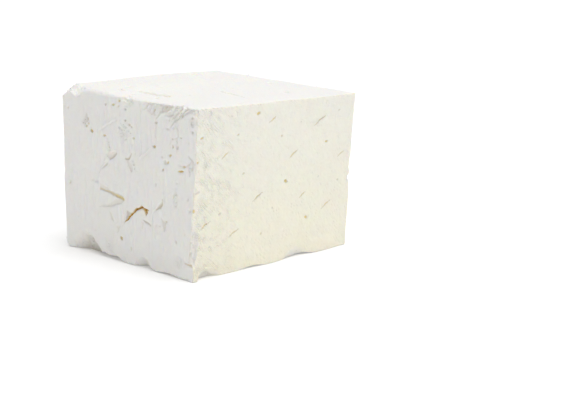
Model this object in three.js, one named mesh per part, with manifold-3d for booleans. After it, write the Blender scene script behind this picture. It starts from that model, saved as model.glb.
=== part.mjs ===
// A block of feta cheese, about two thirds of a one kilogram brick, with one freshly cut end.
// Millimetres, +Z up. The origin is at the bottom centre of the block's bounding box.
// +X points out of the fresh cut, -Y out of the long side that shows the cracks and curd holes.
import * as THREE from 'three';
import { mergeVertices } from 'three/addons/utils/BufferGeometryUtils.js';
import Module from 'manifold-3d';

const wasm = await Module();
wasm.setup();

// The brick's driving sizes
const LENGTH = 95.6; // x, from the old end to the fresh cut
const WIDTH = 96; // y
const HEIGHT = 75; // z
const CUT_LEAN = 5.6; // the knife drifted in under the block by this much at the foot
const TOP_SAG = 2.2; // the top's far corner over the cut lies lower by this much
const NEAR_RISE = 0.5; // the top stands higher by this over the near side
const END_RISE = 0.7; // and by this more towards the old end
const WEAR = 1.6; // rounding of the old edges
const SHOULDER = 1; // the top's edges are rounder by this away from the cut
const CUT_WEAR = 0.5; // rounding of the fresh cut's edges
const SWELL = 0.45; // how far the faces wave in and out
const FOOT_HEIGHT = 7; // below this the cheese tore, and stands out in places along the cut
const FOOT_DEPTH = 1.3;
const RIM_BAND = 8; // a lifted bottom rim fades out over this height and depth
const PROUD = 1.2; // how far a cutter stands out of the face that it cuts
const BIG_HOLE = 2.5; // holes wider than this are rounder
const NO_DEPTH = 0.05; // a floor that runs out into its face
const CALM = 0.7; // the cut and the top wave by this share of SWELL
const CHIP_SPREAD = 1.8; // how far past the edges a corner's cutter reaches

const CUT_X = 47; // where the fresh cut meets the top
const END_X = CUT_X - LENGTH;
const HALF_X = LENGTH / 2;
const HALF_Y = WIDTH / 2;
const CELL = 6; // about the spacing of the body's mesh

// Shaping of the whole body

const clamp = THREE.MathUtils.clamp;

// From 0 at `from` to 1 at `to`, eased at both ends
function smooth(from, to, v) {
  const t = clamp((v - from) / (to - from), 0, 1);
  return t * t * (3 - 2 * t);
}

const bump = (v, centre, half) => smooth(half, 0, Math.abs(v - centre));

// A slow wave over a face, from -1 to 1
function swellAt(u, v, phase) {
  return (
    0.5 * Math.sin(u / 13 + phase) * Math.cos(v / 17 - phase) +
    0.3 * Math.sin(u / 7.3 - v / 9.1 + 2 * phase) +
    0.2 * Math.cos(u / 5.1 + v / 6.3 + 3 * phase)
  );
}

// How far the bottom rim is lifted off the table at a point near it
function rimLift(x, y) {
  const side = 2.4 * bump(x, -20, 11) + 2.2 * bump(x, -9, 7) + 2.2 * bump(x, 13, 7) + 0.8 * bump(x, 30, 9);
  const back = 2 * bump(x, 22, 12) + 1.6 * bump(x, -26, 14);
  const end = 1.8 * bump(y, 12, 12) + 1.4 * bump(y, -24, 10);
  const cut = 1.2 * bump(y, 18, 10) + 0.8 * bump(y, -12, 9);
  const near = (distance) => smooth(RIM_BAND, 0, distance) ** 2;
  return (
    side * near(y + HALF_Y) +
    back * near(HALF_Y - y) +
    end * near(x - END_X) +
    cut * near(CUT_X - x)
  );
}

function wearAt(x, z) {
  const edge = THREE.MathUtils.lerp(WEAR, CUT_WEAR, smooth(CUT_X - 2 * WEAR, CUT_X, x));
  return edge + SHOULDER * smooth(2, -10, x) * smooth(0.8 * HEIGHT, HEIGHT, z);
}

function topRise(x, y) {
  const rise = NEAR_RISE * smooth(CUT_X, CUT_X - 11, x) + END_RISE * smooth(-4, -20, x);
  return rise * smooth(HALF_Y, 8, y);
}

// How much the torn foot of the cut stands out: a nub at the near corner, and less further on
const footShare = (y) => smooth(-43, -46, y) + 0.6 * bump(y, -2, 13) + 0.8 * bump(y, 32, 14);

// Moves a point of the nominal brick's surface to where the real block has it
function form(point) {
  const { x, y, z } = point;
  const wear = wearAt(x, z);
  const core = new THREE.Vector3(
    clamp(x, END_X + wear, CUT_X - wear),
    clamp(y, -HALF_Y + wear, HALF_Y - wear),
    clamp(z, wear, HEIGHT - wear),
  );
  const made = point.clone().sub(core);
  if (made.length() > wear) made.setLength(wear);
  made.add(core);

  const rise = z / HEIGHT;
  const along = (x - END_X) / LENGTH;
  const across = (y + HALF_Y) / WIDTH;
  const free = smooth(0, RIM_BAND, z);
  if (y === -HALF_Y) made.y += SWELL * swellAt(x, z, 0.4) * free;
  if (y === HALF_Y) made.y += SWELL * swellAt(x, z, 2.1) * free;
  if (x === END_X) made.x += SWELL * swellAt(y, z, 4) * free;
  if (x === CUT_X) made.x += SWELL * CALM * swellAt(y, z, 5.2) * free;
  if (z === HEIGHT) made.z += SWELL * CALM * swellAt(x, y, 1.3);

  made.z += topRise(x, y) * smooth(0.8 * HEIGHT, HEIGHT, z) - TOP_SAG * along * across * rise;
  made.x -= CUT_LEAN * (1 - rise) * along;
  const foot = smooth(FOOT_HEIGHT + 1.5, FOOT_HEIGHT - 1.5, z) * footShare(y);
  if (x > CUT_X - WEAR) made.x += FOOT_DEPTH * foot;
  made.z += rimLift(x, y) * smooth(RIM_BAND, 0, z);
  return made;
}

// Lines of the body's mesh along one side: one line at each worn edge, the rest evenly between
function meshLine(value, half, count) {
  const step = Math.round(((value + half) / (2 * half)) * count);
  if (step === 0) return -half;
  if (step === count) return half;
  return -half + WEAR + ((step - 1) / (count - 2)) * 2 * (half - WEAR);
}

function solidFrom(geometry) {
  geometry.deleteAttribute('normal');
  geometry.deleteAttribute('uv');
  const merged = mergeVertices(geometry, 1e-4);
  return new wasm.Manifold(
    new wasm.Mesh({
      numProp: 3,
      vertProperties: Float32Array.from(merged.attributes.position.array),
      triVerts: Uint32Array.from(merged.index.array),
    }),
  );
}

// A closed shape from its corners, turned right side out
function outwardSolid(corners, index) {
  const made = () => {
    const geometry = new THREE.BufferGeometry().setFromPoints(corners);
    geometry.setIndex(index);
    return solidFrom(geometry);
  };
  const solid = made();
  if (solid.volume() > 0) return solid;
  index.reverse();
  return made();
}

function bodySolid() {
  const counts = [LENGTH, WIDTH, HEIGHT].map((size) => Math.round(size / CELL) + 2);
  const geometry = new THREE.BoxGeometry(LENGTH, WIDTH, HEIGHT, ...counts);
  const places = geometry.attributes.position;
  for (let i = 0; i < places.count; i += 1) {
    const nominal = new THREE.Vector3(
      meshLine(places.getX(i), HALF_X, counts[0]) + CUT_X - HALF_X,
      meshLine(places.getY(i), HALF_Y, counts[1]),
      meshLine(places.getZ(i), HEIGHT / 2, counts[2]) + HEIGHT / 2,
    );
    const made = form(nominal);
    places.setXYZ(i, made.x, made.y, made.z);
  }
  return solidFrom(geometry);
}

// Faces. Each gives the nominal point at (a, b) and the ways across, up and out of it.

// The nominal x of a point that the lean of the cut brings to x at height z
function beforeLean(x, z) {
  const lean = CUT_LEAN * (1 - z / HEIGHT);
  return (x * LENGTH - lean * END_X) / (LENGTH - lean);
}

const FACES = {
  side: { at: (a, b) => [beforeLean(a, b), -HALF_Y, b], across: [1, 0, 0], up: [0, 0, 1], out: [0, -1, 0] },
  back: { at: (a, b) => [beforeLean(a, b), HALF_Y, b], across: [-1, 0, 0], up: [0, 0, 1], out: [0, 1, 0] },
  cut: { at: (a, b) => [CUT_X, a, b], across: [0, 1, 0], up: [0, 0, 1], out: [1, 0, 0] },
  end: { at: (a, b) => [END_X, a, b], across: [0, -1, 0], up: [0, 0, 1], out: [-1, 0, 0] },
  top: { at: (a, b) => [a, b, HEIGHT], across: [1, 0, 0], up: [0, 1, 0], out: [0, 0, 1] },
};

const vector = (parts) => new THREE.Vector3(...parts);
const surface = (face, a, b) => form(vector(face.at(a, b)));

// A cutter's matrix: its own x, y and z become across, up and out at a point of a face
function placing(face, a, b, turn) {
  const matrix = new THREE.Matrix4().makeBasis(vector(face.across), vector(face.up), vector(face.out));
  matrix.setPosition(surface(face, a, b));
  return matrix.multiply(new THREE.Matrix4().makeRotationZ(THREE.MathUtils.degToRad(turn)));
}

// A curd hole: a lumpy bowl, `wide` by `tall` at the surface and `deep` into it
function hole(face, a, b, wide, tall, deep, turn = 0) {
  const geometry = new THREE.IcosahedronGeometry(1, wide > BIG_HOLE ? 1 : 0);
  const places = geometry.attributes.position;
  for (let i = 0; i < places.count; i += 1) {
    const p = new THREE.Vector3().fromBufferAttribute(places, i);
    const lump = 1 + 0.12 * Math.sin(3 * p.x + a) * Math.cos(3 * p.y + b);
    places.setXYZ(i, (p.x * lump * wide) / 2, (p.y * lump * tall) / 2, p.z * lump * deep);
  }
  return solidFrom(geometry.applyMatrix4(placing(face, a, b, turn)));
}

// A sunken patch with a sloping floor. Each corner is [a, b, depth], and a corner of NO_DEPTH
// lets the floor run out into the face there.
function sunken(face, corners) {
  const flatten = (list) => list.map(([a, b]) => new THREE.Vector2(a, b));
  const clockwise = THREE.ShapeUtils.isClockWise(flatten(corners));
  const ordered = clockwise ? [...corners].reverse() : corners;
  const out = vector(face.out);
  const mouth = ordered.map(([a, b]) => surface(face, a, b).addScaledVector(out, PROUD));
  const floor = ordered.map(([a, b, depth]) => surface(face, a, b).addScaledVector(out, -depth));
  const count = ordered.length;
  const index = [];
  THREE.ShapeUtils.triangulateShape(flatten(ordered), []).forEach(([i, j, k]) => {
    index.push(i, j, k, count + i, count + k, count + j);
  });
  for (let i = 0; i < count; i += 1) {
    const next = (i + 1) % count;
    index.push(i, count + i, next, next, count + i, count + next);
  }
  return outwardSolid([...mouth, ...floor], index);
}

// Where a flake came away: a patch that deepens towards `turn` degrees and ends there in a step
function flake(face, a, b, long, broad, deep, turn) {
  const angle = THREE.MathUtils.degToRad(turn);
  const outline = [
    [-0.5, 0, NO_DEPTH],
    [0.1, -0.5, deep / 2],
    [0.5, -0.25, deep],
    [0.42, 0.3, deep],
    [0, 0.5, deep / 3],
  ];
  return sunken(
    face,
    outline.map(([u, v, depth]) => {
      const turned = new THREE.Vector2(u * long, v * broad).rotateAround(new THREE.Vector2(), angle);
      return [a + turned.x, b + turned.y, depth];
    }),
  );
}

// A closed tube with three corners at each station
function threeSided(stations) {
  const corners = stations.flat();
  const last = corners.length - 3;
  const index = [0, 2, 1, last, last + 1, last + 2];
  for (let s = 0; s < last; s += 3) {
    for (let k = 0; k < 3; k += 1) {
      const next = (k + 1) % 3;
      index.push(s + k, s + next, s + 3 + k, s + next, s + 3 + next, s + 3 + k);
    }
  }
  return outwardSolid(corners, index);
}

// A crack with a V section. Each stop is [a, b, width, depth].
function crack(face, stops) {
  const out = vector(face.out);
  const flat = stops.map(([a, b]) => surface(face, a, b));
  return threeSided(
    stops.map(([a, b, width, depth], i) => {
      const before = flat[Math.max(i - 1, 0)];
      const after = flat[Math.min(i + 1, flat.length - 1)];
      const sideways = after.clone().sub(before).cross(out).normalize();
      const half = (width / 2) * (1 + PROUD / depth);
      const mouth = flat[i].clone().addScaledVector(out, PROUD);
      return [
        mouth.clone().addScaledVector(sideways, half),
        mouth.clone().addScaledVector(sideways, -half),
        flat[i].clone().addScaledVector(out, -depth),
      ];
    }),
  );
}

// A crumbled edge between two faces. Each stop is [place, inset on the first face, inset on the second].
// `corner` gives the edge's nominal point at a place, `first` and `second` the ways into each face.
function brokenEdge(corner, first, second, stops) {
  return threeSided(
    stops.map(([place, inFirst, inSecond]) => {
      const edge = form(vector(corner(place)));
      const a = edge.clone().addScaledVector(vector(first), inFirst);
      const b = edge.clone().addScaledVector(vector(second), inSecond);
      const outward = edge.clone().sub(a.clone().lerp(b, 0.5));
      const outside = edge.clone().add(outward).addScaledVector(outward.normalize(), PROUD);
      const reach = a.clone().sub(b).setLength(PROUD);
      return [a.add(reach), b.sub(reach), outside];
    }),
  );
}

// A corner broken off flat, `inX`, `inY` and `inZ` along its three edges
function brokenCorner(corner, inX, inY, inZ) {
  const tip = vector(corner);
  const cuts = [inX, inY, inZ].map((size, k) => {
    const p = tip.clone();
    p.setComponent(k, p.getComponent(k) + size);
    return p;
  });
  const centre = cuts.reduce((sum, p) => sum.add(p), new THREE.Vector3()).divideScalar(3);
  const wide = cuts.map((p) => p.clone().sub(centre).multiplyScalar(CHIP_SPREAD).add(centre));
  const apex = tip.clone().multiplyScalar(3).sub(centre.clone().multiplyScalar(2));
  const narrow = wide.map((p) => p.clone().sub(apex).multiplyScalar(0.01).add(apex));
  return threeSided([wide, narrow]);
}

// An ellipsoid that scoops out an edge. Its centre may lie outside the block.
function scoop(centre, radii) {
  const geometry = new THREE.IcosahedronGeometry(1, 2);
  geometry.scale(...radii);
  geometry.translate(...centre);
  return solidFrom(geometry);
}

// The long side that shows

function sideCuts() {
  const face = FACES.side;
  return [
    hole(face, -31, 61.5, 6, 4.5, 1.2, 30),
    hole(face, -26.2, 57.4, 2.8, 1.9, 1.6),
    hole(face, -16.5, 56.8, 4, 1.3, 1.2, 5),
    hole(face, -9.7, 71.2, 3, 1.1, 1, 12),
    hole(face, -5.2, 73.2, 3.2, 1.3, 1.1, 10),
    hole(face, -1, 70.2, 2.4, 1.7, 1.1),
    hole(face, -6.2, 11.2, 2.7, 1.9, 1.7, -20),
    hole(face, -7.6, 15.4, 1.7, 4, 0.9, -5),
    hole(face, -43.5, 31.5, 2, 2.4, 1),
    hole(face, 18.5, 55.9, 2.5, 1.5, 1.6, 12),
    hole(face, 19.2, 71.3, 2.3, 2, 1.3, 30),
    hole(face, 26, 50.4, 2.5, 2.6, 1.5),
    hole(face, 27.9, 50.3, 2.4, 1.5, 1.5, 20),
    hole(face, 24.6, 46.8, 2.2, 1.6, 1.3, 30),
    hole(face, 35.9, 47.6, 3.6, 1.4, 1.9, 4),
    hole(face, 36.9, 50.4, 3.4, 2.4, 1.1),
    hole(face, 40, 36, 3, 2.1, 0.9, 20),
    hole(face, 33, 16.3, 2.1, 2, 0.9),
    hole(face, 31.7, 67, 2.2, 5, 1, -50),
    hole(face, 43.7, 68.4, 2.2, 8, 1.1),
    // A dip in three corners, deepest along its lower right edge
    sunken(face, [
      [-14.5, 49.4, NO_DEPTH],
      [-15.4, 46.9, 0.4],
      [-14.2, 45.6, 1],
      [-10.9, 47.4, 1.8],
      [-8.2, 49.2, 1.6],
      [-11.7, 49.6, NO_DEPTH],
    ]),
    // The face lies lower to the left of a torn ridge
    sunken(face, [
      [-21.8, 34.2, 0.8],
      [-21.3, 38.2, 0.9],
      [-19.7, 40.4, 1],
      [-16.7, 42.7, 0.9],
      [-14.4, 44.4, 0.5],
      [-19, 48, NO_DEPTH],
      [-27, 41, NO_DEPTH],
      [-28, 35, NO_DEPTH],
    ]),
    // A wedge that dips to a slot, and a second one under it
    sunken(face, [
      [-19.9, 35, NO_DEPTH],
      [-20.9, 31.5, 1],
      [-12, 30.3, 1.8],
      [-4, 28.7, 2.2],
      [-3.8, 29.6, 1.6],
      [-12, 31.7, 0.6],
      [-16.3, 32.5, NO_DEPTH],
    ]),
    sunken(face, [
      [-25, 23.2, NO_DEPTH],
      [-17.5, 23.2, 0.9],
      [-10, 25.2, 1.3],
      [-4.8, 27.2, 1.4],
      [-6.8, 28.4, 0.6],
      [-9.2, 28.6, NO_DEPTH],
      [-12.2, 26.6, NO_DEPTH],
      [-17.4, 24.8, NO_DEPTH],
    ]),
    // The deep crack, the facet beside it, and its neighbours
    crack(face, [
      [-3.1, 18.9, 0.5, 1.2],
      [-1.2, 20.8, 1.3, 2.6],
      [0.6, 22.7, 1.7, 3.4],
      [2.5, 24.4, 1.4, 3.4],
      [5.4, 26.2, 1.2, 3.4],
      [8.6, 27.6, 1.8, 3.8],
      [10.7, 26.9, 1.5, 3.6],
      [12, 26.2, 2.4, 3.6],
      [13.2, 27.1, 0.6, 1.6],
    ]),
    sunken(face, [
      [-1.9, 24.9, 0.8],
      [-1.9, 23.2, 0.6],
      [-1.5, 21.2, 1.4],
      [0, 22.8, 1.8],
      [1.4, 24.2, 1.2],
      [-0.3, 25, 0.5],
    ]),
    crack(face, [
      [9.8, 21.9, 0.5, 0.7],
      [12.4, 21.3, 0.9, 1.3],
      [14.8, 20.3, 0.5, 0.7],
    ]),
    crack(face, [
      [18.7, 27.9, 0.5, 0.7],
      [20.9, 29.6, 1.6, 1.6],
      [22.9, 31.2, 1.2, 1.4],
      [23.2, 33.5, 0.5, 0.7],
    ]),
    sunken(face, [
      [21.5, 25.3, NO_DEPTH],
      [22.2, 23.2, 0.5],
      [23.5, 20.4, 1.2],
      [24.4, 18.9, 1.5],
      [26, 22.7, 1.4],
      [24.2, 23.9, 0.3],
    ]),
    sunken(face, [
      [-15.4, 23.3, NO_DEPTH],
      [-13.6, 21, 0.9],
      [-12.6, 18.8, 1.1],
      [-11.1, 17.1, 0.9],
      [-10.5, 19.2, NO_DEPTH],
      [-12.3, 21.9, NO_DEPTH],
    ]),
    crack(face, [
      [-1.4, 48.1, 0.9, 0.8],
      [0.7, 48.4, 1.6, 1.6],
      [1.9, 49.6, 1.3, 1.5],
      [2.7, 50.8, 0.6, 0.8],
    ]),
    sunken(face, [
      [-0.2, 48.1, 0.9],
      [0.7, 45.1, 0.9],
      [2.4, 42.4, 1.2],
      [3.4, 43.6, 0.3],
      [1.8, 47, NO_DEPTH],
    ]),
    crack(face, [
      [-14.5, 55.2, 0.8, 0.7],
      [-13.4, 53, 1.7, 1.1],
      [-14.1, 49.8, 1.2, 1],
    ]),
    // Over the nub at the foot of the cut
    crack(face, [
      [37.8, 7.8, 0.6, 0.7],
      [40.6, 7.4, 1.2, 1.4],
      [44, 7.1, 0.9, 1.6],
    ]),
  ];
}

function cutFaceCuts() {
  const face = FACES.cut;
  return [
    hole(face, -45.3, 62.7, 2.5, 1.3, 1.6),
    hole(face, -12.5, 69.6, 3, 1.6, 1.3, 20),
    hole(face, 6, 37, 2.6, 1.5, 1.4, -20),
    hole(face, 31, 52, 2.2, 1.4, 1.3, 10),
    hole(face, 20, 18, 2.4, 1.6, 1.3, -30),
    crack(face, [
      [-14, 30.5, 0.6, 0.7],
      [-11, 32.2, 1.4, 1.6],
      [-8, 33, 0.6, 0.7],
    ]),
    crack(face, [
      [22, 60, 0.6, 0.7],
      [25.5, 62.4, 1.3, 1.4],
      [29, 63.6, 0.6, 0.7],
    ]),
  ];
}

function topCuts() {
  const face = FACES.top;
  return [
    hole(face, -41, 26.3, 4, 3.2, 1.4, 15),
    hole(face, 29.5, 21, 3.6, 2.8, 1, 30),
    hole(face, 9.8, -38.6, 2.4, 2, 1.2),
    hole(face, -6, -39.5, 4, 2.2, 1, 20),
    crack(face, [
      [-14, -31.4, 0.8, 0.8],
      [-5.3, -29.9, 2.6, 1.5],
      [5, -31, 1, 0.8],
    ]),
    crack(face, [
      [11.5, -3.4, 0.6, 0.7],
      [22, -5.6, 1.5, 1],
      [33.3, -8.4, 0.6, 0.7],
    ]),
  ];
}

// The other long side and the old end, pitted and cracked like the first side

const random = (() => {
  let state = 20417;
  return () => {
    state = (state * 1664525 + 1013904223) % 4294967296;
    return state / 4294967296;
  };
})();

// Holes strewn over a face, and a few cracks that wander across it
function strewn(face, halfWide, holeCount, cracks) {
  const cuts = [];
  for (let i = 0; i < holeCount; i += 1) {
    const a = (random() * 2 - 1) * (halfWide - 5);
    const b = 10 + random() * (HEIGHT - 18);
    const size = 1.6 + 2 * random() ** 2;
    const shape = 0.5 + 0.5 * random();
    const turn = (random() - 0.5) * 80;
    cuts.push(hole(face, a, b, size, size * shape, 0.5 * size + 0.3, turn));
  }
  cracks.forEach(([fromA, fromB, toA, toB, width, depth]) => {
    const stops = [0, 0.3, 0.55, 0.8, 1].map((t) => {
      const open = Math.sin(Math.PI * (0.12 + 0.76 * t));
      const stray = 2.4 * (random() - 0.5) * open;
      const a = THREE.MathUtils.lerp(fromA, toA, t) + stray;
      const b = THREE.MathUtils.lerp(fromB, toB, t) + 1.6 * (random() - 0.5);
      return [a, b, width * open, 0.6 + depth * open];
    });
    cuts.push(crack(face, stops));
  });
  return cuts;
}

function hiddenSideCuts() {
  return [
    ...strewn(FACES.back, HALF_X - 4, 16, [
      [-30, 26, -13, 34, 2, 3.2],
      [8, 47, 21, 41, 1.6, 2.2],
      [28, 17, 36, 25, 1.4, 1.6],
    ]),
    flake(FACES.back, 14, 58, 8, 5, 1.8, -30),
    flake(FACES.back, -22, 16, 9, 5, 1.8, 200),
    ...strewn(FACES.end, HALF_Y, 16, [
      [-22, 50, -6, 43, 2, 3],
      [14, 22, 27, 29, 1.8, 2.4],
    ]),
    flake(FACES.end, 22, 56, 9, 5, 1.8, -35),
    flake(FACES.end, -28, 24, 8, 4.5, 1.6, 215),
  ];
}

// Broken edges and corners

const IN_X = [1, 0, 0];
const OUT_X = [-1, 0, 0];
const IN_Y = [0, 1, 0];
const OUT_Y = [0, -1, 0];
const DOWN = [0, 0, -1];

function edgeCuts() {
  const topSide = (x) => [x, -HALF_Y, HEIGHT];
  const topBack = (x) => [x, HALF_Y, HEIGHT];
  const topEnd = (y) => [END_X, y, HEIGHT];
  const sideCut = (z) => [CUT_X, -HALF_Y, z];
  const backCut = (z) => [CUT_X, HALF_Y, z];
  return [
    // The top edge over the side: a facet beside the broken corner, a crumbled nick, and a band
    // that is broken off towards the cut
    brokenEdge(topSide, IN_Y, DOWN, [
      [-43.4, 0.3, 0.3],
      [-41.5, 1.3, 1.7],
      [-38, 2.8, 3.3],
      [-35, 2.2, 2.5],
      [-32, 0.7, 0.5],
    ]),
    brokenEdge(topSide, IN_Y, DOWN, [
      [-8, 0.5, 0.5],
      [-4, 2, 1.8],
      [0, 3, 3.2],
      [4, 1.6, 1.4],
      [7, 0.5, 0.5],
    ]),
    brokenEdge(topSide, IN_Y, DOWN, [
      [12, 0.5, 0.6],
      [17, 0.9, 3.2],
      [22, 1.3, 4.2],
      [30, 1.3, 5],
      [36, 1.2, 4],
      [42, 0.9, 2.6],
      [CUT_X + 1, 0.8, 1.6],
    ]),
    brokenEdge(topBack, OUT_Y, DOWN, [
      [-36, 0.5, 0.5],
      [-27, 2.2, 2.4],
      [-19, 1.4, 1.2],
      [-12, 0.5, 0.5],
    ]),
    brokenEdge(topBack, OUT_Y, DOWN, [
      [10, 0.5, 0.5],
      [17, 1.8, 2.6],
      [26, 1.2, 1.6],
      [32, 0.5, 0.5],
    ]),
    brokenEdge(topEnd, IN_X, DOWN, [
      [0, 0.5, 0.5],
      [7, 1.8, 2],
      [15, 1, 1.2],
      [24, 1.8, 2.4],
      [31, 0.5, 0.5],
    ]),
    // The cut's upright edges: a long bevel over the foot, and nicks above it
    brokenEdge(sideCut, OUT_X, IN_Y, [
      [6.8, 0.3, 0.5],
      [8.2, 1.9, 2.4],
      [12, 1.3, 3.2],
      [18, 1, 3.2],
      [26, 0.6, 2.8],
      [32, 0.2, 0.5],
    ]),
    brokenEdge(sideCut, OUT_X, IN_Y, [
      [35, 0.2, 0.2],
      [38, 0.9, 0.7],
      [42, 0.3, 0.3],
      [50, 1, 0.8],
      [55, 0.3, 0.3],
    ]),
    brokenEdge(sideCut, OUT_X, IN_Y, [
      [63, 0.3, 0.3],
      [66, 1.6, 0.8],
      [70, 2.2, 1],
      [73, 0.5, 0.4],
    ]),
    brokenEdge(backCut, OUT_X, OUT_Y, [
      [26, 0.3, 0.3],
      [33, 1.5, 1.8],
      [40, 1, 1],
      [46, 0.3, 0.3],
    ]),
    brokenCorner([END_X, -HALF_Y, HEIGHT + 0.6], 17, 10, -5.8),
    brokenCorner([END_X, HALF_Y, HEIGHT], 4, -6, -4),
    brokenCorner([END_X, -HALF_Y, 0], 3.5, 3.5, 3.2),
    // Hollows under the bottom edges, and in the old end's upright edges
    scoop([-27.5, -HALF_Y - 4, -4], [15, 12, 14.5]),
    scoop([12, -HALF_Y - 2.6, -2], [8, 7, 6.5]),
    scoop([END_X - 5, -22, -3], [9, 12, 12]),
    scoop([18, HALF_Y + 5, -3], [13, 8, 11]),
    scoop([CUT_X - CUT_LEAN + 2.4, -38, 0], [5.6, 7.5, 6.4]),
    scoop([CUT_X - CUT_LEAN + 3.6, 14, -1], [5, 10, 6]),
    scoop([END_X - 4.2, -HALF_Y - 4, 37], [7, 7.5, 7]),
    scoop([END_X - 4.6, HALF_Y + 4.4, 52], [6.8, 7, 9]),
  ];
}

function blockGeometry() {
  const cuts = [...sideCuts(), ...cutFaceCuts(), ...topCuts(), ...hiddenSideCuts(), ...edgeCuts()];
  const carved = cuts.reduce((solid, cutter) => solid.subtract(cutter), bodySolid());
  const whole = carved.decompose().reduce((a, b) => (a.volume() > b.volume() ? a : b));
  const mesh = whole.getMesh();
  const geometry = new THREE.BufferGeometry();
  geometry.setAttribute('position', new THREE.BufferAttribute(Float32Array.from(mesh.vertProperties), 3));
  geometry.setIndex(new THREE.BufferAttribute(Uint32Array.from(mesh.triVerts), 1));
  geometry.computeBoundingBox();
  const { min, max } = geometry.boundingBox;
  return geometry.translate(-(min.x + max.x) / 2, -(min.y + max.y) / 2, -min.z);
}

const feta = new THREE.MeshStandardMaterial({ color: 0xf3f0e6, roughness: 0.62, metalness: 0 });
const block = new THREE.Mesh(blockGeometry(), feta);
block.name = 'feta_block';

const group = new THREE.Group();
group.add(block);

export default group;
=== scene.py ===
"""A block of feta: its looks, over the plain solid. Sizes are millimetres until the mesh is made."""

import math

import bpy
import numpy as np
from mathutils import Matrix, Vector


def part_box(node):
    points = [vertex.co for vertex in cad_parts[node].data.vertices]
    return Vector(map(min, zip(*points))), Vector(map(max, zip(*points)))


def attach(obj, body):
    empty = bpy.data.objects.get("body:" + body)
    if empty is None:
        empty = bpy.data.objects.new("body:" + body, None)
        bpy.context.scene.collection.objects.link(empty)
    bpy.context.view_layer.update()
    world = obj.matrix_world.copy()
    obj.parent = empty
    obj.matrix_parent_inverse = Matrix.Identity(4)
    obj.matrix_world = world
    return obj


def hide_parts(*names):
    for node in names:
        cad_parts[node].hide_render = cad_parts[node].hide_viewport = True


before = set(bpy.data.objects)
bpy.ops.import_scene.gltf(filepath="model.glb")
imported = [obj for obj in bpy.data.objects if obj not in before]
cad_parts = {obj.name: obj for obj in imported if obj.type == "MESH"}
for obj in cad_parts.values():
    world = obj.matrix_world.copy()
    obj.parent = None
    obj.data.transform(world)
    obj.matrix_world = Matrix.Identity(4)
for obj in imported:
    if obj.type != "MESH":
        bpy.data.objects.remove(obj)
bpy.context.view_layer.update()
NODE = "feta_block"
MM = 0.001

# The brick, in the same terms as the solid
LENGTH, WIDTH, HEIGHT = 95.6, 96.0, 75.0
HALF_X, HALF_Y = LENGTH / 2, WIDTH / 2
CUT_X = 47.0
END_X = CUT_X - LENGTH
CUT_LEAN = 5.6
TOP_SAG = 2.2
NEAR_RISE = 0.5
END_RISE = 0.7
WEAR = 1.6
SHOULDER = 1.0
CUT_WEAR = 0.5
SWELL = 0.45
FOOT_HEIGHT = 7.0
FOOT_DEPTH = 1.3
CALM = 0.7  # the cut and the top wave by this share of SWELL
WAVE_REACH = 6.0  # a face's waves die out over this depth under it
RIM_BAND = 8.0  # how far in and up from the foot's edges they arch off the table
UPPER = 0.8 * HEIGHT  # the shoulder and the rise of the top fade out down to here

MESH_STEP = 0.36  # spacing of the mesh before it is thinned
MOST_TRIANGLES = 190_000
POINTS_IN_ROW = 1000  # more than any edge of the mesh has

# Breaks
EDGE_JAG = 0.6  # an edge's breaks are this much deeper and shallower from place to place
CORNER_BUMPS = 0.25
TORN_FROM = 0.4  # a place that moved in by this much is torn all over
LEAST_INSET = 0.05
NO_DEPTH = 0.05  # where a sunken patch runs out into its face


# Helpers for shapes

def smooth(start, end, v):
    t = np.clip((v - start) / (end - start), 0, 1)
    return t * t * (3 - 2 * t)


def bump(v, centre, half):
    return smooth(half, 0, np.abs(v - centre))


class Grain:
    """Smooth random values from -1 to 1 all through space, the same on every run."""

    CELLS = 48

    def __init__(self, seed):
        self.lattice = np.random.default_rng(seed).uniform(-1, 1, (self.CELLS,) * 3)

    def at(self, points, size):
        place = points.T / size
        low = np.floor(place).astype(int)
        part = place - low
        part = part * part * (3 - 2 * part)
        low %= self.CELLS
        high = (low + 1) % self.CELLS
        cells = self.lattice.reshape(-1)
        row = self.CELLS
        total = 0
        for i, p in ((low[0], 1 - part[0]), (high[0], part[0])):
            for j, q in ((low[1], 1 - part[1]), (high[1], part[1])):
                start = (i * row + j) * row
                near, far = cells[start + low[2]], cells[start + high[2]]
                total = total + p * q * (near * (1 - part[2]) + far * part[2])
        return total

    def rough(self, points, size, octaves=3):
        return sum(self.at(points, size / 2**n) / 2**n for n in range(octaves))


# Three that have nothing in common
GRAIN_A = Grain(11)
GRAIN_B = Grain(12)
GRAIN_C = Grain(13)


def random_draws(state):
    """The same draws as the solid makes for its hidden sides."""
    while True:
        state = (state * 1664525 + 1013904223) % 4294967296
        yield state / 4294967296


# The body

def swell_at(u, v, phase):
    """Long waves over a face, from -1 to 1. Each face has a phase of its own."""
    return (
        0.5 * np.sin(u / 13 + phase) * np.cos(v / 17 - phase)
        + 0.3 * np.sin(u / 7.3 - v / 9.1 + 2 * phase)
        + 0.2 * np.cos(u / 5.1 + v / 6.3 + 3 * phase)
    )


def rim_lift(x, y):
    """How far the foot's edge arches up off the table, along each side."""
    side = 2.4 * bump(x, -20, 11) + 2.2 * bump(x, -9, 7) + 2.2 * bump(x, 13, 7) + 0.8 * bump(x, 30, 9)
    back = 2 * bump(x, 22, 12) + 1.6 * bump(x, -26, 14)
    end = 1.8 * bump(y, 12, 12) + 1.4 * bump(y, -24, 10)
    cut = 1.2 * bump(y, 18, 10) + 0.8 * bump(y, -12, 9)

    def near(distance):
        return smooth(RIM_BAND, 0, distance) ** 2

    return (
        side * near(y + HALF_Y)
        + back * near(HALF_Y - y)
        + end * near(x - END_X)
        + cut * near(CUT_X - x)
    )


class Sides:
    """Which nominal faces each point of the mesh lies on."""

    def __init__(self, nominal):
        x, y, z = nominal.T
        self.end, self.cut = x == END_X, x == CUT_X
        self.side, self.back = y == -HALF_Y, y == HALF_Y
        self.top = z == HEIGHT


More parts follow.
